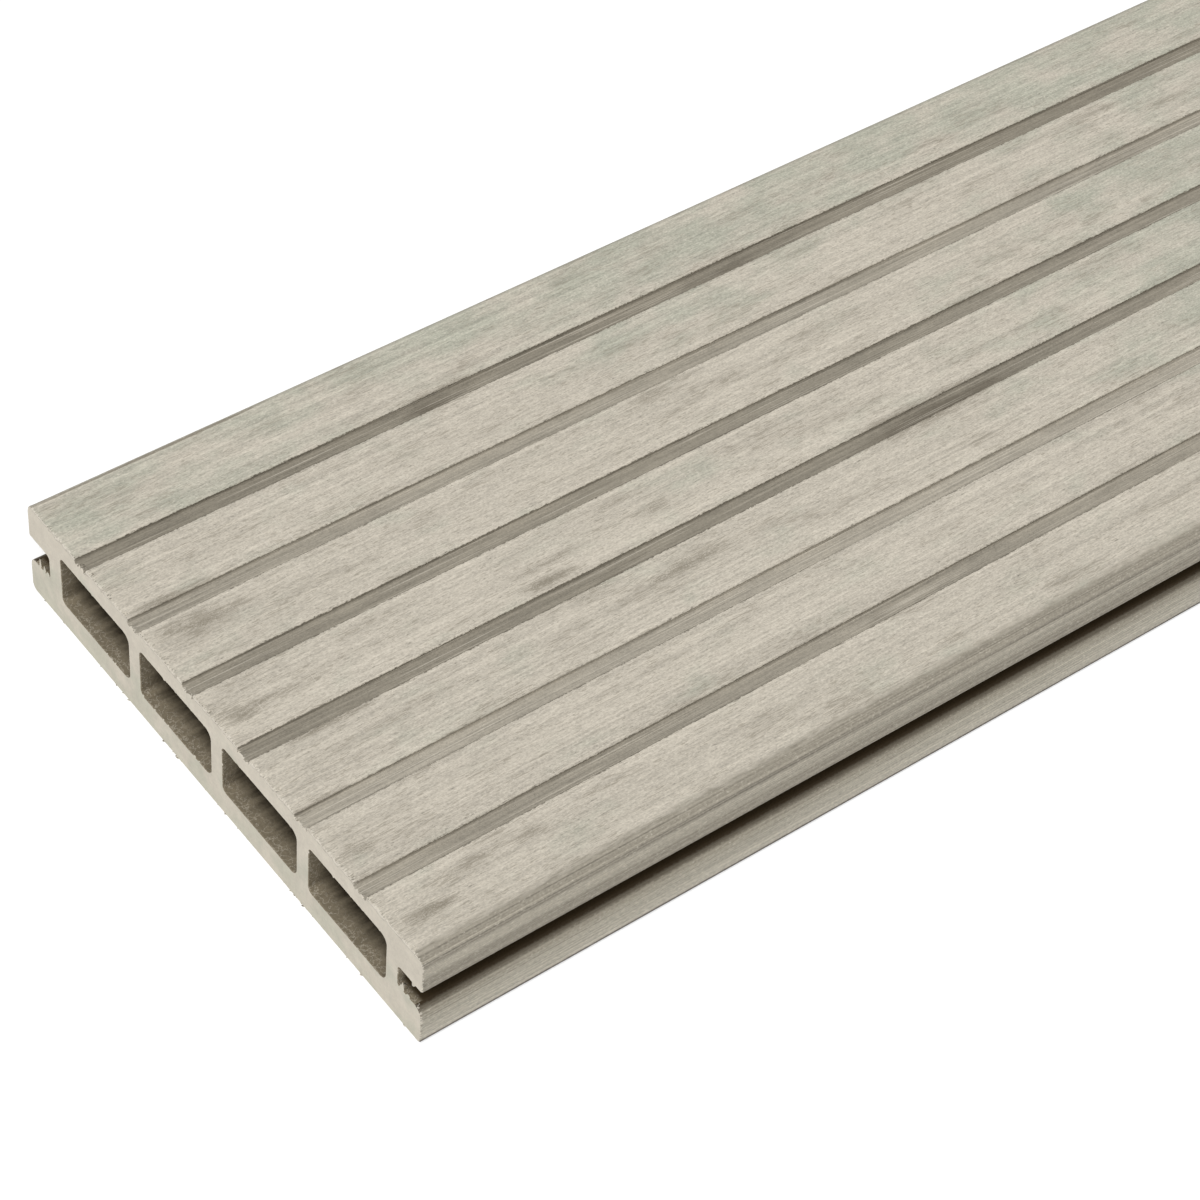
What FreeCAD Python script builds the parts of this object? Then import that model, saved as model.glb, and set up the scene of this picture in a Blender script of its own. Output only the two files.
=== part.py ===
"""Hollow wood-plastic composite decking board, 140 x 25 mm, in one stock length.

The board is extruded through one die, sawn to length and brushed on its faces. Its section has
four chambers in a row, a slot for hidden clips along each side and shallow drip grooves on top.
X runs along the board, Y across it and Z up. The origin is the middle of the underside.
"""
import FreeCAD, Part
import math
import os
import Sketcher
from FreeCAD import Vector

doc = FreeCAD.newDocument("decking_board")

# Driving dimensions in millimetres, with what each one measures.
sizes = doc.addObject("Spreadsheet::Sheet", "sizes")
DRIVING = [
    ("board_length", 2200, "stock length between the two saw cuts"),
    ("board_width", 140, "overall width"),
    ("board_height", 25, "overall thickness"),
    ("top_edge_round", 2.2, "rounding of the two long top edges"),
    ("bottom_edge_round", 1, "rounding of the two long bottom edges"),
    ("slot_depth", 7.7, "clip slot, from the side of the board to its root"),
    ("slot_opening", 5.6, "clip slot, height between its lips"),
    ("lower_lip", 10, "height of the lip below the clip slot"),
    ("lower_lip_round", 2.4, "outer shoulder of the lower lip, which leads the clip in"),
    ("upper_lip_round", 0.5, "lower edge of the upper lip"),
    ("slot_root_round", 0.8, "two inner corners of the clip slot"),
    ("chambers", 4, "number of chambers across the width"),
    ("side_wall", 4.4, "wall between a slot and the outer chamber"),
    ("web", 4.2, "web between neighbouring chambers"),
    ("top_skin", 5.4, "material between the chambers and the top face"),
    ("bottom_skin", 6.7, "material between the underside and the chambers"),
    ("chamber_round", 1.5, "corners of the chambers"),
    ("grooves", 6, "number of drip grooves in the top face"),
    ("groove_pitch", 19.8, "distance from one drip groove to the next"),
    ("groove_width", 4, "width of a drip groove"),
    ("groove_depth", 1.4, "depth of a drip groove"),
    ("groove_root_round", 0.5, "inner corners of a drip groove"),
    ("groove_edge_round", 0.4, "eased edges of the ribs beside a drip groove"),
]

# Dimensions that follow from the driving ones.
DERIVED = [
    ("half_width", "=board_width / 2", "middle to side"),
    ("slot_root", "=half_width - slot_depth", "middle to a slot's root"),
    ("slot_ceiling", "=lower_lip + slot_opening", "underside to the slots' ceiling"),
    ("chamber_near", "=slot_root - side_wall", "middle to the first chamber's outer wall"),
    ("chamber_room", "=2 * chamber_near - (chambers - 1) * web", "all chambers' widths together"),
    ("chamber_width", "=chamber_room / chambers", "width of one chamber"),
    ("chamber_far", "=chamber_near - chamber_width", "middle to the first chamber's inner wall"),
    ("chamber_pitch", "=chamber_width + web", "distance from one chamber to the next"),
    ("chamber_top", "=board_height - top_skin", "underside to the chambers' ceiling"),
    ("groove_near", "=((grooves - 1) * groove_pitch + groove_width) / 2", "first groove's outer wall"),
    ("groove_far", "=groove_near - groove_width", "first groove's inner wall"),
    ("groove_floor", "=board_height - groove_depth", "underside to the grooves' floor"),
    ("mouth_near", "=groove_near + 2 * groove_edge_round", "outer side of the cut above the board"),
    ("mouth_far", "=groove_far - 2 * groove_edge_round", "inner side of the cut above the board"),
    ("mouth_top", "=board_height + groove_depth", "top of the cut, clear above the board"),
]
for row, (alias, content, meaning) in enumerate(DRIVING + DERIVED, start=1):
    sizes.set("A%d" % row, meaning)
    sizes.set("B%d" % row, str(content))
    sizes.setAlias("B%d" % row, alias)
doc.recompute()


def size(name):
    """Value of a named dimension."""
    return float(sizes.get(name))


def section_sketch(body, name):
    """Empty sketch across the board, with its first axis along Y and its second along Z."""
    plane = next(item for item in body.Origin.OriginFeatures if item.Role == "YZ_Plane")
    sketch = body.newObject("Sketcher::SketchObject", name)
    sketch.AttachmentSupport = [(plane, "")]
    sketch.MapMode = "FlatFace"
    return sketch


def bind(sketch, constraint, name):
    """Adds a dimension to a sketch and ties it to the named size."""
    index = sketch.addConstraint(constraint)
    sketch.setExpression("Constraints[%d]" % index, "sizes." + name)


def place_line(sketch, line, start, end, corner):
    """Makes a line level or upright and sets its distance from the middle or the underside."""
    side, across, up, _ = corner
    if abs(end.y - start.y) > abs(end.x - start.x):
        sketch.addConstraint(Sketcher.Constraint("Vertical", line))
        ends = (-1, 1, line, 1) if side > 0 else (line, 1, -1, 1)
        bind(sketch, Sketcher.Constraint("DistanceX", *ends, size(across)), across)
        return
    sketch.addConstraint(Sketcher.Constraint("Horizontal", line))
    if up == "underside":
        sketch.addConstraint(Sketcher.Constraint("PointOnObject", line, 1, -1))
        return
    bind(sketch, Sketcher.Constraint("DistanceY", -1, 1, line, 1, size(up)), up)


def round_corner(sketch, before, after, points, radius, name):
    """Joins two lines with an arc that is tangent to both, or at a point where there is no round."""
    if not name:
        sketch.addConstraint(Sketcher.Constraint("Coincident", before, 2, after, 1))
        return
    previous, corner, following = points
    inwards = (previous - corner).normalize()
    onwards = (following - corner).normalize()
    centre = corner + (inwards + onwards) * radius
    turns_left = onwards.cross(inwards).z > 0
    first, last = (-onwards, -inwards) if turns_left else (-inwards, -onwards)
    start_angle = math.atan2(first.y, first.x)
    end_angle = math.atan2(last.y, last.x)
    if end_angle < start_angle:
        end_angle += 2 * math.pi
    circle = Part.Circle(centre, Vector(0, 0, 1), radius)
    arc = sketch.addGeometry(Part.ArcOfCircle(circle, start_angle, end_angle), False)
    entry, leave = (1, 2) if turns_left else (2, 1)
    sketch.addConstraint(Sketcher.Constraint("Tangent", before, 2, arc, entry))
    sketch.addConstraint(Sketcher.Constraint("Tangent", arc, leave, after, 1))
    bind(sketch, Sketcher.Constraint("Radius", arc, radius), name)


def draw_outline(sketch, corners):
    """Closed outline of level and upright lines.

    A corner is its side of the middle, the sizes that give its Y and Z, and its rounding or "".
    """
    points = []
    radii = []
    for side, across, up, rounding in corners:
        height = 0 if up == "underside" else size(up)
        points.append(Vector(side * size(across), height, 0))
        radii.append(size(rounding) if rounding else 0)
    count = len(corners)
    lines = []
    for index in range(count):
        following = (index + 1) % count
        along = (points[following] - points[index]).normalize()
        start = points[index] + along * radii[index]
        end = points[following] - along * radii[following]
        lines.append(sketch.addGeometry(Part.LineSegment(start, end), False))
    for index, corner in enumerate(corners):
        following = (index + 1) % count
        place_line(sketch, lines[index], points[index], points[following], corner)
        nearby = (points[index - 1], points[index], points[following])
        round_corner(sketch, lines[index - 1], lines[index], nearby, radii[index], corner[3])


def row_across(body, cut, name, number, spacing):
    """Repeats a cut from the first one towards the other side of the board."""
    pattern = body.newObject("PartDesign::LinearPattern", name)
    pattern.Originals = [cut]
    pattern.Direction = (cut.Profile[0], ["H_Axis"])
    pattern.Reversed = True
    pattern.Mode = "Spacing"
    pattern.setExpression("Occurrences", "sizes." + number)
    pattern.setExpression("Offset", "sizes." + spacing)
    body.Tip = pattern
    return pattern


def cut_along(body, sketch, name):
    """Cuts a section out of the board's whole length."""
    cut = body.newObject("PartDesign::Pocket", name)
    cut.Profile = sketch
    cut.Type = "ThroughAll"
    cut.Midplane = True
    return cut


board = doc.addObject("PartDesign::Body", "decking_board")
board.Label = "decking_board"

# The die's outer outline: underside, then up the +Y side round its slot, over the top and down.
outline = section_sketch(board, "outer_outline")
HALF_OUTLINE = [
    ("half_width", "underside", "bottom_edge_round"),
    ("half_width", "lower_lip", "lower_lip_round"),
    ("slot_root", "lower_lip", "slot_root_round"),
    ("slot_root", "slot_ceiling", "slot_root_round"),
    ("half_width", "slot_ceiling", "upper_lip_round"),
    ("half_width", "board_height", "top_edge_round"),
]
plus_side = [(1,) + corner for corner in HALF_OUTLINE]
minus_side = [(-1,) + corner for corner in reversed(HALF_OUTLINE)]
draw_outline(outline, plus_side + minus_side)

extrusion = board.newObject("PartDesign::Pad", "extrusion")
extrusion.Profile = outline
extrusion.Midplane = True
extrusion.setExpression("Length", "sizes.board_length")

# One chamber beside the +Y side wall, repeated across the board with a web between neighbours.
chamber = section_sketch(board, "chamber_outline")
draw_outline(chamber, [
    (1, "chamber_far", "bottom_skin", "chamber_round"),
    (1, "chamber_near", "bottom_skin", "chamber_round"),
    (1, "chamber_near", "chamber_top", "chamber_round"),
    (1, "chamber_far", "chamber_top", "chamber_round"),
])
chamber_cut = cut_along(board, chamber, "chamber")
row_across(board, chamber_cut, "chamber_row", "chambers", "chamber_pitch")

# One drip groove, rounded at its root and at the ribs' edges, repeated across the top face.
groove = section_sketch(board, "groove_outline")
draw_outline(groove, [
    (1, "groove_far", "groove_floor", "groove_root_round"),
    (1, "groove_near", "groove_floor", "groove_root_round"),
    (1, "groove_near", "board_height", "groove_edge_round"),
    (1, "mouth_near", "board_height", ""),
    (1, "mouth_near", "mouth_top", ""),
    (1, "mouth_far", "mouth_top", ""),
    (1, "mouth_far", "board_height", ""),
    (1, "groove_far", "board_height", "groove_edge_round"),
])
groove_cut = cut_along(board, groove, "groove")
row_across(board, groove_cut, "groove_row", "grooves", "groove_pitch")

doc.recompute()

for item in doc.Objects:
    if "Invalid" in item.State or "Error" in item.State:
        raise RuntimeError("%s did not build" % item.Name)
for sketch in (outline, chamber, groove):
    if not sketch.FullyConstrained:
        raise RuntimeError("%s is not fully dimensioned" % sketch.Name)
if board.Shape.isNull() or not board.Shape.isValid() or len(board.Shape.Solids) != 1:
    raise RuntimeError("the board is not one valid solid")

os.makedirs("parts", exist_ok=True)
board.Shape.exportStep("parts/%s.step" % board.Label)
print("%s: %.1f cm3, %d faces" % (board.Label, board.Shape.Volume / 1000, len(board.Shape.Faces)))
print("size %s" % board.Shape.BoundBox)
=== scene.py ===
import math
import random

import bpy
from mathutils import Matrix, Vector


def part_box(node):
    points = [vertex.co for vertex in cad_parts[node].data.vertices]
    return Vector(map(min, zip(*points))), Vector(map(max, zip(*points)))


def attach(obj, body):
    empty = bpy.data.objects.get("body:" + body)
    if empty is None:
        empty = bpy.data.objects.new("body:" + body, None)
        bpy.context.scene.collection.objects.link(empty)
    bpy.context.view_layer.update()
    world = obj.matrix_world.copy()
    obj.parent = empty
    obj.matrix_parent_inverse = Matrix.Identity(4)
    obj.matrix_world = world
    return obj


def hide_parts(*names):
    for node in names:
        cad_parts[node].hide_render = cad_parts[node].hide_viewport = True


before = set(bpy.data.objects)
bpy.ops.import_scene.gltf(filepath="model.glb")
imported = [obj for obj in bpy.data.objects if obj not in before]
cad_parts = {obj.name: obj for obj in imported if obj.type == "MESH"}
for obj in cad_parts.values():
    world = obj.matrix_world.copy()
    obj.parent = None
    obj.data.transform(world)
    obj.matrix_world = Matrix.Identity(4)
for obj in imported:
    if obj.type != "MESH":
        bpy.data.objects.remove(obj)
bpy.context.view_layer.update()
low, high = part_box("decking_board")
MM = 0.001

# The board's sawn end: the section of the extrusion die, open at its chambers, clip slots and
# drip grooves. It is cut out of a blank of the board's size. The real die runs a little uneven:
# its chambers lie to one side, their corners differ and the far lip is lower.
GROOVE_PITCH = 19.8 * MM
GROOVE_WIDTH = 4 * MM
GROOVE_FLOOR = high.z - 1.4 * MM
SLOT_ROOT = high.y - 7.7 * MM
SLOT_CEILING = low.z + 15.6 * MM
NEAR_LIP = low.z + 10 * MM
FAR_LIP = low.z + 9.5 * MM
CHAMBER_PITCH = 30 * MM
CHAMBER_WIDTH = 25.8 * MM
CHAMBER_SHIFT = -0.45 * MM
CHAMBER_FLOOR = low.z + 6.7 * MM
CHAMBER_CEILING = high.z - 5.4 * MM
grooves = [(k - 2.5) * GROOVE_PITCH for k in range(6)]
chambers = [(k - 1.5) * CHAMBER_PITCH + CHAMBER_SHIFT for k in range(4)]


def near(value, *targets):
    """True where a coordinate lies on one of these planes."""
    return any(abs(value - target) < 0.01 * MM for target in targets)


def pick(mesh, kind, test):
    """Selects the vertices, edges or faces whose centre passes the test, in edit mode."""
    bpy.ops.mesh.select_mode(type=kind)
    bpy.ops.mesh.select_all(action="DESELECT")
    bpy.ops.object.mode_set(mode="OBJECT")
    if kind == "VERT":
        for vertex in mesh.vertices:
            vertex.select = test(vertex.co)
    elif kind == "EDGE":
        for edge in mesh.edges:
            start, end = (mesh.vertices[i].co for i in edge.vertices)
            edge.select = test(start, end)
    else:
        for face in mesh.polygons:
            face.select = test(face.center)
    bpy.ops.object.mode_set(mode="EDIT")


def open_part(centre):
    """True for the parts of the sawn end where the section is open."""
    groove = centre.z > GROOVE_FLOOR and any(abs(centre.y - y) < GROOVE_WIDTH / 2 for y in grooves)
    lip = FAR_LIP if centre.y > 0 else NEAR_LIP
    slot = lip < centre.z < SLOT_CEILING and abs(centre.y) > SLOT_ROOT
    chamber = any(abs(centre.y - y) < CHAMBER_WIDTH / 2 for y in chambers)
    return groove or slot or (chamber and CHAMBER_FLOOR < centre.z < CHAMBER_CEILING)


bpy.ops.object.select_all(action="DESELECT")
bpy.ops.mesh.primitive_cube_add(size=1, location=(low + high) / 2, scale=high - low)
board = bpy.context.object
board.name = "composite_board"
section = board.data
section.name = "composite_board"
bpy.ops.object.transform_apply(location=True, rotation=True, scale=True)
bpy.ops.object.mode_set(mode="EDIT")
pick(section, "FACE", lambda centre: not near(centre.x, low.x))
bpy.ops.mesh.delete(type="FACE")
groove_sides = [y + side * GROOVE_WIDTH / 2 for y in grooves for side in (-1, 1)]
chamber_left = [y + CHAMBER_WIDTH / 2 for y in chambers]
chamber_right = [y - CHAMBER_WIDTH / 2 for y in chambers]
across = groove_sides + chamber_left + chamber_right + [-SLOT_ROOT, SLOT_ROOT]
levels = [FAR_LIP, NEAR_LIP, SLOT_CEILING, CHAMBER_FLOOR, CHAMBER_CEILING, GROOVE_FLOOR]
cuts = [((0, y, 0), (0, 1, 0)) for y in across] + [((0, 0, z), (0, 0, 1)) for z in levels]
for place, normal in cuts:
    bpy.ops.mesh.select_all(action="SELECT")
    bpy.ops.mesh.bisect(plane_co=place, plane_no=normal, threshold=0.001 * MM)
pick(section, "FACE", open_part)
bpy.ops.mesh.delete(type="FACE")
bpy.ops.mesh.select_all(action="SELECT")
bpy.ops.mesh.region_to_loop()
bpy.ops.mesh.select_all(action="INVERT")
bpy.ops.mesh.delete(type="EDGE")
bpy.ops.mesh.select_all(action="SELECT")
bpy.ops.mesh.dissolve_limited(angle_limit=math.radians(1))

# Rounded corners of the section, each with the radius in millimetres that the die gives it, its
# number of segments and where it is.
rounds = [
    (2.2, 6, lambda p: near(p.z, high.z) and near(abs(p.y), high.y)),
    (1.8, 5, lambda p: near(p.z, low.z) and near(p.y, high.y)),
    (0.8, 4, lambda p: near(p.z, low.z) and near(p.y, low.y)),
    (2.4, 6, lambda p: near(p.z, NEAR_LIP, FAR_LIP) and near(abs(p.y), high.y)),
    (0.5, 3, lambda p: near(p.z, SLOT_CEILING) and near(abs(p.y), high.y)),
    (0.8, 4, lambda p: near(abs(p.y), SLOT_ROOT)),
    (1.0, 4, lambda p: near(p.z, CHAMBER_CEILING) and near(p.y, *chamber_left)),
    (2.1, 6, lambda p: near(p.z, CHAMBER_CEILING) and near(p.y, *chamber_right)),
    (1.3, 5, lambda p: near(p.z, CHAMBER_FLOOR) and near(p.y, *chamber_left)),
    (1.9, 6, lambda p: near(p.z, CHAMBER_FLOOR) and near(p.y, *chamber_right)),
    (0.5, 3, lambda p: near(p.z, GROOVE_FLOOR) and near(p.y, *groove_sides)),
    (0.4, 3, lambda p: near(p.z, high.z) and near(p.y, *groove_sides)),
]
for radius, segments, corner in rounds:
    pick(section, "VERT", corner)
    bpy.ops.mesh.bevel(offset=radius * MM, segments=segments, profile=0.5, affect="VERTICES")

# The outline is divided finely enough to take the torn edges of the saw cut, and drawn along the
# board to its middle. The sawn face is then filled in, with a small worn arris round it.
OUTLINE_STEP = 0.5 * MM
ARRIS = 0.15 * MM
END_STEPS = [1.2 * MM, 1.2 * MM, 5 * MM, 20 * MM, 80 * MM]
MIDDLE_STEPS = 4
middle_step = (-low.x - ARRIS - sum(END_STEPS)) / MIDDLE_STEPS
pick(section, "EDGE", lambda start, end: (end - start).length > OUTLINE_STEP)
while any(edge.select for edge in section.edges):
    bpy.ops.mesh.subdivide()
    pick(section, "EDGE", lambda start, end: (end - start).length > OUTLINE_STEP)
bpy.ops.mesh.select_all(action="SELECT")
bpy.ops.transform.translate(value=(ARRIS, 0, 0))
for step in END_STEPS + [middle_step] * MIDDLE_STEPS:
    bpy.ops.mesh.extrude_edges_move(TRANSFORM_OT_translate={"value": (step, 0, 0)})
pick(section, "EDGE", lambda start, end: near(start.x, low.x + ARRIS) and near(end.x, low.x + ARRIS))
bpy.ops.mesh.fill(use_beauty=True)
bpy.ops.mesh.inset(thickness=ARRIS, depth=0, use_boundary=True, use_even_offset=True)
bpy.ops.transform.translate(value=(-ARRIS, 0, 0))

# The saw tore the composite. It left burrs in the slots, grooves and chambers, each with its place
# across, its height and its reach in millimetres. Small teeth over each chamber, chips out of the
# top edge, lint on the grooves' floors and short whiskers along the bottom have random places, as
# many of them for each reach. Every point of the arris is a little out of line.
BURRS = [
    (66.3, 9.5, (0, 0.1, 1.9)), (64.7, 9.5, (0, 0.1, 1.2)), (63.4, 9.5, (0, 0, 0.5)),
    (-63.1, 10, (0, -0.1, 1.0)), (-63.7, 10, (0, 0.1, 1.9)), (-65.6, 10, (0, 0, 0.3)),
    (-67.2, 15.6, (0, 0.5, -1.2)), (49.9, 23.6, (0, 0, 0.9)), (48.9, 23.6, (0, 0, 0.6)),
    (30.2, 23.6, (0, 0, 0.4)), (-8.9, 23.6, (0, 0, 0.4)), (33.2, 19.6, (0, 0, -0.5)),
    (18.6, 19.6, (0, 0.2, -0.6)), (4.4, 19.6, (0, 0, -0.4)), (-40.5, 19.6, (0, 0, -0.6)),
]
TEETH = [(0, 0, -0.12), (0, 0, -0.2), (0, 0, -0.35)]
TEETH_EACH = 9
CHIPS = [(0.25, 0, -0.06), (0.45, 0, -0.14), (0.8, 0, -0.25)]
CHIPS_EACH = 30
LINT = [(0, 0, 0.15), (-0.05, 0, 0.25), (0, 0, 0.4)]
TUFTS_EACH = 20
WHISKERS = [(-0.2, 0.2, -0.03), (-0.3, -0.3, 0), (-0.45, 0.3, 0.1)]
WHISKERS_EACH = 12
THIN_TEAR = 0.4 * MM
WIDE_TEAR = 0.6 * MM
BURR_WIDTH = 0.7 * MM
FRAY = 0.06 * MM
chance = random.Random(5)


def tear(height, places, width, reach):
    """Pulls the arris out of line at this height and these places, by a reach in millimetres."""
    pick(section, "VERT", lambda p: near(p.x, low.x + ARRIS) and near(p.z, height)
         and any(abs(p.y - y) < width / 2 for y in places))
    bpy.ops.transform.translate(value=Vector(reach) * MM)


for reach in TEETH:
    torn = [y + chance.uniform(-0.5, 0.4) * CHAMBER_WIDTH for y in chambers for k in range(TEETH_EACH)]
    tear(CHAMBER_CEILING, torn, THIN_TEAR, reach)
for y, z, reach in BURRS:
    tear(z * MM, [y * MM], BURR_WIDTH, reach)
for reach in CHIPS:
    tear(high.z, [chance.uniform(low.y, high.y) for k in range(CHIPS_EACH)], WIDE_TEAR, reach)
for reach in LINT:
    tear(GROOVE_FLOOR, [chance.uniform(low.y, high.y) for k in range(TUFTS_EACH)], WIDE_TEAR, reach)
for reach in WHISKERS:
    torn = [chance.uniform(0.95 * low.y, 0.95 * high.y) for k in range(WHISKERS_EACH)]
    tear(low.z, torn, THIN_TEAR, reach)
pick(section, "VERT", lambda p: p.x < low.x + 0.5 * END_STEPS[0])
bpy.ops.transform.vertex_random(offset=FRAY, seed=3)
pick(section, "VERT", lambda p: abs(p.x - low.x) < 0.5 * ARRIS)
bpy.ops.transform.resize(value=(0, 1, 1), center_override=(low.x, 0, 0))
bpy.ops.mesh.select_all(action="SELECT")
bpy.ops.mesh.normals_make_consistent(inside=False)
bpy.ops.object.mode_set(mode="OBJECT")

# The other half is the same, up to the saw cut at the far end.
bpy.ops.object.modifier_add(type="MIRROR")
board.modifiers["Mirror"].merge_threshold = 0.01 * MM
bpy.ops.object.modifier_apply(modifier="Mirror")
bpy.ops.object.shade_smooth_by_angle(angle=math.radians(40))
bpy.ops.object.mode_set(mode="EDIT")
pick(section, "FACE", lambda centre: abs(centre.x) > high.x - 0.9 * ARRIS)
bpy.ops.mesh.faces_shade_flat()
bpy.ops.object.mode_set(mode="OBJECT")


# Brushed composite: wood flour in a plastic binder, whose smooth skin was brushed off the ribs and
# sides with wire. That leaves it matt, pale and scored along its length. The finest scores are
# thinner than the render can show, so they are drawn a quarter of a millimetre wide. Stains, cool
# spots and scuffs each have their place from the near end and the middle, their length and width
# in millimetres, and how deep they are.
COMPOSITE_IOR = 1.5
RIB = "D0C8B9"
COOL = "BEBDAD"
DULL_STAIN_AND_SHADE = "9A9183"
SCORE = "8A8273"
FLECK_AND_HIGHLIGHT = "E2DBCD"
SAWN = "D8D0C1"
STAINS = [
    (12, 23, 28, 9, 0.4), (8, 32.5, 26, 3, 0.35), (6, -2, 22, 9, 0.3), (17, -12.6, 34, 3, 0.4),
    (76, -6, 20, 3.5, 0.35), (102, -18, 36, 6, 0.25), (4, -40, 12, 9, 0.3), (18, -56.5, 26, 6, 0.4),
    (9, -60.5, 14, 5, 0.4), (34, -57, 14, 3.5, 0.3), (86, 49.5, 34, 8, 0.5), (170, 49.5, 50, 8, 0.35),
    (176, -9.9, 66, 9, 0.8), (92, -9.9, 40, 7, 0.3), (128, -49.5, 30, 7, 0.3), (35, -49.5, 40, 7, 0.2),
    (30, 68.4, 80, 1.4, 1.0),
]
COOL_SPOTS = [
    (900, 68, 4000, 60, 0.42), (140, 42, 80, 16, 0.35), (300, -5, 250, 130, 0.5),
    (10, 36, 50, 12, 0.15), (115, 2, 50, 14, 0.25),
]
SCUFFS = [(42, 30, 60, 36, 0.13), (16, -2, 34, 24, 0.1)]


def paint(code):
    """Linear colour of an sRGB hex value."""
    parts = [int(code[i:i + 2], 16) / 255 for i in (0, 2, 4)]
    return [p / 12.92 if p <= 0.04045 else ((p + 0.055) / 1.055) ** 2.4 for p in parts] + [1]


def add(tree, kind, sockets, **settings):
    """Adds a shader node with its settings, sets or links its sockets and gives its first output."""
    node = tree.nodes.new(kind)
    for name, value in settings.items():
        setattr(node, name, value)
    for socket, value in sockets.items():
        if isinstance(value, bpy.types.NodeSocket):
            tree.links.new(value, node.inputs[socket])
        else:
            node.inputs[socket].default_value = value
    return next(output for output in node.outputs if output.enabled)


def composite(name, roughness, gloss):
    """New material of composite: its tree, its shader and the place on the board in metres."""
    material = bpy.data.materials.new(name)
    material.use_nodes = True
    section.materials.append(material)
    shader = material.node_tree.nodes["Principled BSDF"]
    shader.inputs["Roughness"].default_value = roughness
    shader.inputs["IOR"].default_value = COMPOSITE_IOR
    shader.inputs["Specular IOR Level"].default_value = gloss
    coordinates = material.node_tree.nodes.new("ShaderNodeTexCoord")
    return material.node_tree, shader, coordinates.outputs["Object"]


def grain(tree, place, length, width, seed, detail=2.0):
    """Pattern of marks of this length along the board and this width, in millimetres."""
    scale = (1 / (length * MM), 1 / (width * MM), 1 / (width * MM))
    shift = (seed, 2 * seed, seed)
    drawn_out = add(tree, "ShaderNodeMapping", {"Vector": place, "Location": shift, "Scale": scale})
    return add(tree, "ShaderNodeTexNoise", {"Vector": drawn_out, "Scale": 1, "Detail": detail})


def spotted(tree, place, pattern, spots):
    """Pattern raised in ovals: place from the near end and the middle, length, width and depth."""
    for x, y, length, width, depth in spots:
        scale = Vector((2 / length, 2 / width, 2 / width)) / MM
        shift = -scale * Vector((low.x + x * MM, y * MM, high.z))
        oval = add(tree, "ShaderNodeMapping", {"Vector": place, "Location": shift, "Scale": scale})
        spot = add(tree, "ShaderNodeTexGradient", {"Vector": oval}, gradient_type="SPHERICAL")
        raised = {0: spot.node.outputs[1], 1: depth, 2: pattern}
        pattern = add(tree, "ShaderNodeMath", raised, operation="MULTIPLY_ADD")
    return pattern


def marked(tree, colour, patterns):
    """Colour made lighter and darker by patterns, each with its own contrast."""
    level = 1 - sum(contrast for pattern, contrast in patterns) / 2
    for pattern, contrast in patterns:
        raised = {0: pattern, 1: contrast, 2: level}
        level = add(tree, "ShaderNodeMath", raised, operation="MULTIPLY_ADD")
    both = {0: 1.0, 6: colour, 7: level}
    return add(tree, "ShaderNodeMix", both, data_type="RGBA", blend_type="MULTIPLY")


def tinted(tree, colour, pattern, start, end, tint, share=1.0):
    """Colour that turns to a tint where a pattern passes from one level to another."""
    part = {0: pattern, 1: start, 2: end, 4: share}
    part = add(tree, "ShaderNodeMapRange", part, interpolation_type="SMOOTHSTEP")
    return add(tree, "ShaderNodeMix", {0: part, 6: colour, 7: tint}, data_type="RGBA")


tree, shader, place = composite("brushed_composite", 0.85, 0.25)
along = add(tree, "ShaderNodeSeparateXYZ", {0: place})
sideways, height = along.node.outputs[1:]
cloud = grain(tree, place, 14, 7, 3.1, 5.0)
smudge = grain(tree, place, 16, 4, 8.3, 4.0)
lines = grain(tree, place, 900, 0.6, 4.9)
bands = grain(tree, place, 60, 1.8, 1.9, 3.0)
smears = grain(tree, place, 4, 0.9, 7.1, 4.0)
hairs = grain(tree, place, 2.5, 0.25, 5.7, 3.0)
specks = grain(tree, place, 0.6, 0.35, 2.3, 3.0)
scratches = spotted(tree, place, grain(tree, place, 0.35, 5, 6.4), SCUFFS)
soil = spotted(tree, place, smudge, STAINS)
cooler = spotted(tree, place, cloud, COOL_SPOTS)
worn = add(tree, "ShaderNodeMath", {0: soil, 1: 0.5, 2: hairs}, operation="MULTIPLY_ADD")
pitted = add(tree, "ShaderNodeMath", {0: soil, 1: 0.6, 2: specks}, operation="MULTIPLY_ADD")
rib = tinted(tree, paint(RIB), cooler, 0.52, 0.9, paint(COOL))
rib = tinted(tree, rib, soil, 0.6, 0.9, paint(DULL_STAIN_AND_SHADE), 0.16)
rib = marked(tree, rib, [(lines, 0.5), (bands, 0.22), (smears, 0.4), (hairs, 0.72), (specks, 0.7)])
rib = tinted(tree, rib, worn, 0.82, 0.92, paint(SCORE), 0.55)
rib = tinted(tree, rib, pitted, 0.96, 1.04, paint(SCORE), 0.6)
rib = tinted(tree, rib, specks, 0.6, 0.7, paint(FLECK_AND_HIGHLIGHT), 0.5)
rib = tinted(tree, rib, scratches, 0.72, 0.8, paint(FLECK_AND_HIGHLIGHT), 0.5)

# Drip grooves and sides: they keep more of the die's darker skin, which the brush hardly reached.
# Its tone differs from groove to groove and, by height in millimetres, up the sides. Up the sides,
# the dark band just above the bottom edge is painted shade where the board meets the floor, and the
# darkening towards the lower lip's shoulder under the slot is painted shade of the upper lip.
GROOVE_TONES = ["958E80", "AAA395", "9C9587", "999284", "B2AB9D", "A69F91"]
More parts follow.
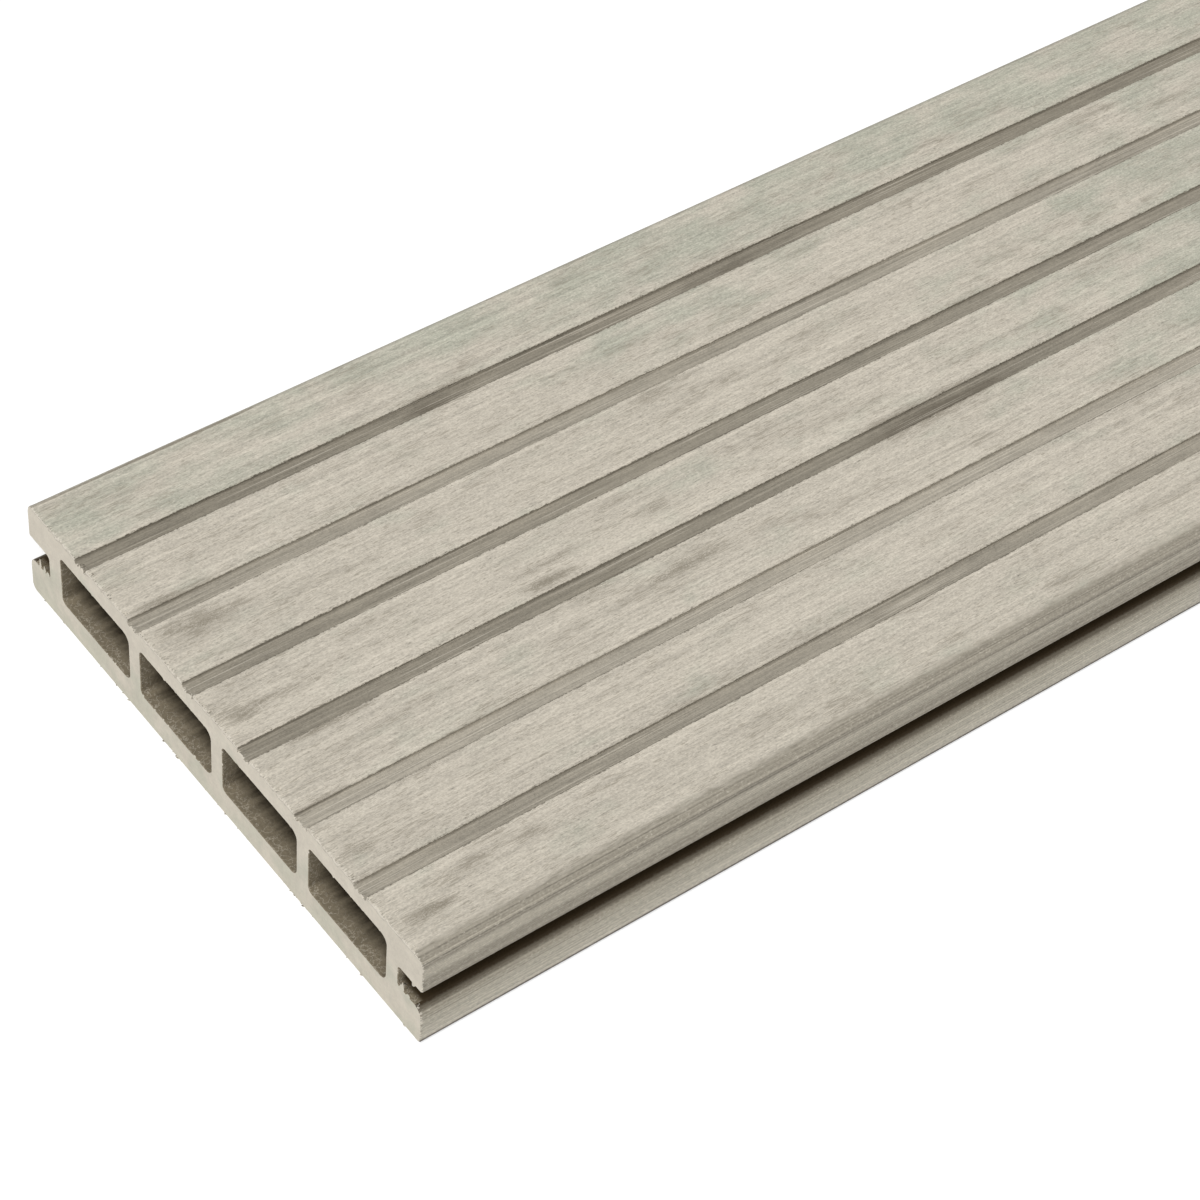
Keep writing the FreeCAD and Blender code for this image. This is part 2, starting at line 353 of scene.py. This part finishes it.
# A dark brown used for stains on the groove floors, and as painted shade in the clip slots and along
# the tops of the groove walls.
STAIN_AND_SHADE = "3B3020"
SIDE_TONES_AND_SHADE = [
    (0, "A89F90"), (0.2, "3A342A"), (0.8, "4A4339"), (1.2, "C2BCAE"), (6, "B8B2A3"),
    (8.5, "A39C8D"), (10, "8F8879"), (16, "A0998B"), (19.3, "A0998B"), (20.3, "B4AD9E"),
    (22.4, "B4AD9E"), (23.2, "A29B8D"), (24.5, "9E9789"),
]
half_row = len(GROOVE_TONES) / 2 * GROOVE_PITCH
along_row = add(tree, "ShaderNodeMapRange", {0: sideways, 1: half_row, 2: -half_row})
up_side = add(tree, "ShaderNodeMapRange", {0: height, 1: low.z, 2: high.z})
groove = add(tree, "ShaderNodeValToRGB", {0: along_row})
groove.node.color_ramp.interpolation = "CONSTANT"
side = add(tree, "ShaderNodeValToRGB", {0: up_side})
groove_stops = [(number / len(GROOVE_TONES), code) for number, code in enumerate(GROOVE_TONES)]
side_stops = [(z * MM / high.z, code) for z, code in SIDE_TONES_AND_SHADE]
for tone, stops in ((groove, groove_stops), (side, side_stops)):
    elements = tone.node.color_ramp.elements
    elements.remove(elements[1])
    for index, (position, code) in enumerate(stops):
        stop = elements.new(position) if index else elements[0]
        stop.color = paint(code)
streaks = grain(tree, place, 45, 0.7, 4.4, 3.0)
stains = grain(tree, place, 25, 5, 6.2)
hairlines = grain(tree, place, 40, 0.25, 3.7, 3.0)
wires = grain(tree, place, 400, 0.35, 3.9, 3.0)
groove_marks = [(streaks, 0.5), (stains, 0.35), (smears, 0.4), (hairlines, 0.9), (specks, 0.6)]
groove = marked(tree, groove, groove_marks)
groove = tinted(tree, groove, soil, 0.6, 1, paint(STAIN_AND_SHADE), 0.5)
# Painted shade: the top half millimetre of the groove walls, just below the ribs' edges, is darker.
groove = tinted(tree, groove, height, high.z - 0.7 * MM, high.z - 0.5 * MM, paint(STAIN_AND_SHADE), 0.4)
groove = tinted(tree, groove, hairlines, 0.6, 0.7, paint(FLECK_AND_HIGHLIGHT), 0.45)
side = marked(tree, side, [(lines, 0.5), (bands, 0.15), (wires, 1.3), (hairlines, 0.7), (specks, 0.8)])
side = tinted(tree, side, specks, 0.62, 0.72, paint(FLECK_AND_HIGHLIGHT), 0.35)

# The brushing stops at a wavering line beside each groove and round each long edge. The brushed
# colour reaches further round the +Y edge than round the other one, which is painted light on that
# edge's rounding. Below the chambers' ceiling it reached nothing.
PAINTED_LIGHT_SHIFT = 1 * MM
beside = add(tree, "ShaderNodeMath", {0: sideways, 1: grooves[0] - 0.2 * MM}, operation="SUBTRACT")
beside = add(tree, "ShaderNodeMath", {0: beside, 1: GROOVE_PITCH / 2}, operation="PINGPONG")
beside = add(tree, "ShaderNodeMath", {0: beside, 1: GROOVE_WIDTH / 2 + 0.2 * MM}, operation="SUBTRACT")
above = add(tree, "ShaderNodeMath", {0: height, 1: high.z - 0.2 * MM}, operation="SUBTRACT")
brushed = add(tree, "ShaderNodeMath", {0: above, 1: beside}, operation="MINIMUM")
half = add(tree, "ShaderNodeMath", {0: sideways}, operation="ABSOLUTE")
border = add(tree, "ShaderNodeMath", {0: half, 1: SLOT_ROOT}, operation="SUBTRACT")
brushed = add(tree, "ShaderNodeMath", {0: brushed, 1: border}, operation="MAXIMUM")
brushed = add(tree, "ShaderNodeMath", {0: hairs, 1: 0.8 * MM, 2: brushed}, operation="MULTIPLY_ADD")
brushed = add(tree, "ShaderNodeMath", {0: specks, 1: 0.8 * MM, 2: brushed}, operation="MULTIPLY_ADD")
face = tinted(tree, groove, brushed, 0.6 * MM, 0.8 * MM, rib)
# Painted light: the brushed colour is shifted towards +Y, onto that edge's rounding.
edge = add(tree, "ShaderNodeMath", {0: sideways, 1: PAINTED_LIGHT_SHIFT}, operation="SUBTRACT")
edge = add(tree, "ShaderNodeMath", {0: edge}, operation="ABSOLUTE")
below = add(tree, "ShaderNodeMath", {0: height, 1: CHAMBER_CEILING}, operation="LESS_THAN")
edge = add(tree, "ShaderNodeMath", {0: edge, 1: below}, operation="ADD")
for pattern, reach in ((smears, 4), (hairs, 1.5), (specks, 1.5)):
    edge = add(tree, "ShaderNodeMath", {0: pattern, 1: reach * MM, 2: edge}, operation="MULTIPLY_ADD")
face = tinted(tree, face, edge, high.y + 0.4 * MM, high.y + 2.8 * MM, side)

# Painted shade under the upper lip: the mouths of the clip slots get darker inwards in two steps,
# whose borders are grainy.
MOUTH_MIDDLE = low.z + 12.6 * MM
MOUTH_REACH = 4 * MM
mouth = add(tree, "ShaderNodeMath", {0: height, 1: MOUTH_MIDDLE, 2: MOUTH_REACH}, operation="COMPARE")
depth = add(tree, "ShaderNodeMath", {0: high.y, 1: half}, operation="SUBTRACT")
depth = add(tree, "ShaderNodeMath", {0: specks, 1: 0.8 * MM, 2: depth}, operation="MULTIPLY_ADD")
depth = add(tree, "ShaderNodeMath", {0: mouth, 1: depth}, operation="MULTIPLY")
face = tinted(tree, face, depth, 0.85 * MM, 1.15 * MM, paint(STAIN_AND_SHADE), 0.6)
face = tinted(tree, face, depth, 1.5 * MM, 2.1 * MM, paint(STAIN_AND_SHADE))

# The saw frayed the edge of the cut, which is pale in places, and left crumbs beside it and whiskers
# that stand out of it, which are darkened as painted shade.
distance = add(tree, "ShaderNodeMath", {0: along}, operation="ABSOLUTE")
crumbs = add(tree, "ShaderNodeMath", {0: specks, 1: 6 * MM, 2: distance}, operation="MULTIPLY_ADD")
nicks = add(tree, "ShaderNodeMath", {0: specks, 1: -6 * MM, 2: distance}, operation="MULTIPLY_ADD")
face = tinted(tree, face, crumbs, high.x + 2.9 * MM, high.x + 3.5 * MM, paint(FLECK_AND_HIGHLIGHT), 0.75)
face = tinted(tree, face, nicks, high.x - 2.4 * MM, high.x - 2.1 * MM, paint(SCORE), 0.7)
# Painted shade: what stands out beyond the cut, the whiskers, is darkened.
face = tinted(tree, face, distance, high.x + 0.15 * MM, high.x + 0.3 * MM, paint(DULL_STAIN_AND_SHADE))
relief = add(tree, "ShaderNodeMath", {0: hairs, 1: specks}, operation="ADD")
bump = add(tree, "ShaderNodeBump", {"Height": relief, "Strength": 0.8, "Distance": 0.15 * MM})
tree.links.new(face, shader.inputs["Base Color"])
tree.links.new(bump, shader.inputs["Normal"])

# Extruded skin: the same composite as it left the die, darker than the brushed faces and rough with
# grit, inside the chambers and clip slots. Its colour is lighter near the cut, where sawdust lies, and
# painted darker inwards, which is painted shade deep in the openings. Sawdust and curled fibres lie
# in the first millimetres behind the cut.
SHADED_CHAMBER_SKIN = "2A2218"
DUST = "827865"
tree, shader, place = composite("extruded_skin", 0.75, 0.1)
along = add(tree, "ShaderNodeSeparateXYZ", {0: place})
sideways = along.node.outputs[1]
drawn = grain(tree, place, 9, 1.5, 2.9, 4.0)
grit = grain(tree, place, 0.7, 0.6, 5.1, 3.0)
curls = grain(tree, place, 1.2, 1.2, 7.7, 4.0)
distance = add(tree, "ShaderNodeMath", {0: along}, operation="ABSOLUTE")
dust_and_shade = add(tree, "ShaderNodeMath", {0: drawn, 1: 4 * MM, 2: distance}, operation="MULTIPLY_ADD")
# Painted shade: the skin turns from dust near the cut to near black deeper inside.
face = tinted(tree, paint(SHADED_CHAMBER_SKIN), dust_and_shade, high.x - 5.5 * MM, high.x + 0.5 * MM, paint(DUST))
face = marked(tree, face, [(drawn, 0.4), (grit, 0.5)])
fibre = add(tree, "ShaderNodeMath", {0: curls, 1: 0.5, 2: 0.02}, operation="COMPARE")
fibre = add(tree, "ShaderNodeMath", {0: fibre, 1: 10 * MM, 2: distance}, operation="MULTIPLY_ADD")
face = tinted(tree, face, fibre, high.x + 6 * MM, high.x + 9 * MM, paint(SAWN), 0.35)
# Painted shade: inside the clip slots the skin is made dark from about 1.2 mm behind the cut.
slot = add(tree, "ShaderNodeMath", {0: sideways}, operation="ABSOLUTE")
slot = add(tree, "ShaderNodeMath", {0: slot, 1: SLOT_ROOT - 1 * MM}, operation="SUBTRACT")
inside = add(tree, "ShaderNodeMath", {0: high.x - END_STEPS[0], 1: distance}, operation="SUBTRACT")
slot = add(tree, "ShaderNodeMath", {0: slot, 1: inside}, operation="MINIMUM")
face = tinted(tree, face, slot, -0.5 * MM, 1 * MM, paint(STAIN_AND_SHADE))
bump = add(tree, "ShaderNodeBump", {"Height": grit, "Strength": 0.6, "Distance": 0.3 * MM})
tree.links.new(face, shader.inputs["Base Color"])
tree.links.new(bump, shader.inputs["Normal"])

# Sawn composite: cut across by a circular saw, which leaves a pale and even face. It is a little
# greener low down and has a paler torn lip along its top edge, partly painted highlight where the
# arris catches the light, with a fine dark line below it. The whiskers that stand out of it are
# darkened as painted shade.
LIP_EDGE = high.z + 0.55 * MM
tree, shader, place = composite("sawn_composite", 0.9, 0.2)
along = add(tree, "ShaderNodeSeparateXYZ", {0: place})
height = along.node.outputs[2]
blots = grain(tree, place, 9, 9, 2.2, 3.0)
grit = grain(tree, place, 0.6, 0.6, 1.4)
greener = add(tree, "ShaderNodeMath", {0: height, 1: -0.3 / high.z, 2: blots}, operation="MULTIPLY_ADD")
face = tinted(tree, paint(SAWN), greener, 0.3, 0.55, paint(COOL), 0.6)
mottle = grain(tree, place, 2.5, 2.5, 5.5, 3.0)
face = marked(tree, face, [(blots, 0.2), (mottle, 0.25), (grit, 0.2)])
curl = grain(tree, place, 1.6, 1.6, 3.4, 3.0)
lip = add(tree, "ShaderNodeMath", {0: curl, 1: 2.4 * MM, 2: height}, operation="MULTIPLY_ADD")
dark_line = add(tree, "ShaderNodeMath", {0: lip, 1: LIP_EDGE, 2: 0.1 * MM}, operation="COMPARE")
# Partly painted highlight: the pale lip along the top edge of the cut.
face = tinted(tree, face, lip, LIP_EDGE, LIP_EDGE + 0.35 * MM, paint(FLECK_AND_HIGHLIGHT), 0.8)
face = tinted(tree, face, dark_line, 0, 1, paint(SCORE), 0.35)
distance = add(tree, "ShaderNodeMath", {0: along}, operation="ABSOLUTE")
# Painted shade: what stands out beyond the cut, the whiskers, is darkened.
face = tinted(tree, face, distance, high.x + 0.15 * MM, high.x + 0.3 * MM, paint(DULL_STAIN_AND_SHADE))
bump = add(tree, "ShaderNodeBump", {"Height": grit, "Strength": 0.4, "Distance": 0.1 * MM})
tree.links.new(face, shader.inputs["Base Color"])
tree.links.new(bump, shader.inputs["Normal"])


def in_opening(p):
    """True on the walls of the chambers and clip slots."""
    chamber = any(abs(p.y - y) < CHAMBER_WIDTH / 2 + 0.1 * MM for y in chambers)
    chamber = chamber and CHAMBER_FLOOR - 0.1 * MM < p.z < CHAMBER_CEILING + 0.1 * MM
    lip = FAR_LIP if p.y > 0 else NEAR_LIP
    slot = SLOT_ROOT - 0.1 * MM < abs(p.y) < high.y - 2 * MM
    return chamber or (slot and lip - 0.1 * MM < p.z < SLOT_CEILING + 0.1 * MM)


for polygon in section.polygons:
    if abs(polygon.normal.x) > 0.8:
        polygon.material_index = section.materials.find("sawn_composite")
    elif in_opening(polygon.center):
        polygon.material_index = section.materials.find("extruded_skin")
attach(board, "root")
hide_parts("decking_board")

# The studio: a sheet of white paper under the board, which is seen a little brighter so that it
# runs into the white round it and keeps only a faint shadow.
FLOOR_SIDE = 40
PAPER_WHITE = 0.87
PAPER_GLOW = 0.3


def seen_glow(tree, glow, more):
    """Strength of a glow, with more of it where it is seen, also as a gloss or through glass."""
    rays = add(tree, "ShaderNodeLightPath", {}).node.outputs
    seen = add(tree, "ShaderNodeMath", {0: rays["Is Camera Ray"], 1: rays["Is Glossy Ray"]})
    seen = add(tree, "ShaderNodeMath", {0: seen, 1: rays["Is Transmission Ray"]})
    return add(tree, "ShaderNodeMath", {0: seen, 1: more, 2: glow}, operation="MULTIPLY_ADD")


bpy.ops.object.select_all(action="DESELECT")
bpy.ops.mesh.primitive_plane_add(size=FLOOR_SIDE, location=(0, 0, low.z))
floor = bpy.context.object
floor.name = "floor"
paper = bpy.data.materials.new("white_paper")
paper.use_nodes = True
tree = paper.node_tree
body = tree.nodes["Principled BSDF"]
body.inputs["Base Color"].default_value = (PAPER_WHITE, PAPER_WHITE, PAPER_WHITE, 1)
body.inputs["Roughness"].default_value = 1.0
body.inputs["Specular IOR Level"].default_value = 0.0
glow = add(tree, "ShaderNodeEmission", {"Strength": seen_glow(tree, 0, PAPER_GLOW)})
both = add(tree, "ShaderNodeAddShader", {0: body.outputs[0], 1: glow})
tree.links.new(both, tree.nodes["Material Output"].inputs["Surface"])
floor.data.materials.append(paper)

# Soft studio light, almost all from above, at which a colour renders about as it is written, and
# a backdrop that is seen white.
SKY_GLOW = 0.32
world = bpy.data.worlds.new("studio")
bpy.context.scene.world = world
world.use_nodes = True
sky = world.node_tree.nodes["Background"]
sky.inputs["Color"].default_value = (1, 1, 1, 1)
glow = seen_glow(world.node_tree, SKY_GLOW, 1 - SKY_GLOW)
world.node_tree.links.new(glow, sky.inputs["Strength"])


def soft_light(name, towards, share, spread):
    """Light from a wide patch of sky that gives a level white surface this share of its brightness."""
    data = bpy.data.lights.new(name, "SUN")
    lamp = bpy.data.objects.new(name, data)
    bpy.context.collection.objects.link(lamp)
    direction = Vector(towards).normalized()
    data.energy = math.pi * share / direction.z
    data.angle = math.radians(spread)
    lamp.rotation_mode = "QUATERNION"
    lamp.rotation_quaternion = direction.to_track_quat("Z", "Y")


soft_light("key", (-0.45, -0.3, 0.84), 0.6, 40)

# Camera, at the photograph's place and angle, worked out from the near sawn end.
NEAR_END = Vector((low.x, 0, low.z))
EYE = Vector((-232.8, -377.3, 539.8)) * MM
HEADING = math.radians(40.96)
DOWN = math.radians(47.08)
ROLL = math.radians(5.48)
turn = Matrix.Rotation(-HEADING, 4, "Z") @ Matrix.Rotation(math.pi / 2 - DOWN, 4, "X")
turn = turn @ Matrix.Rotation(ROLL, 4, "Z")
camera = bpy.data.objects.new("camera", bpy.data.cameras.new("camera"))
bpy.context.collection.objects.link(camera)
camera.matrix_world = Matrix.Translation(NEAR_END + EYE) @ turn
camera.data.lens = 105.36
camera.data.sensor_width = 36
camera.data.clip_start = 0.01
camera.data.clip_end = 50
bpy.context.scene.camera = camera
bpy.context.scene.view_settings.view_transform = "Standard"
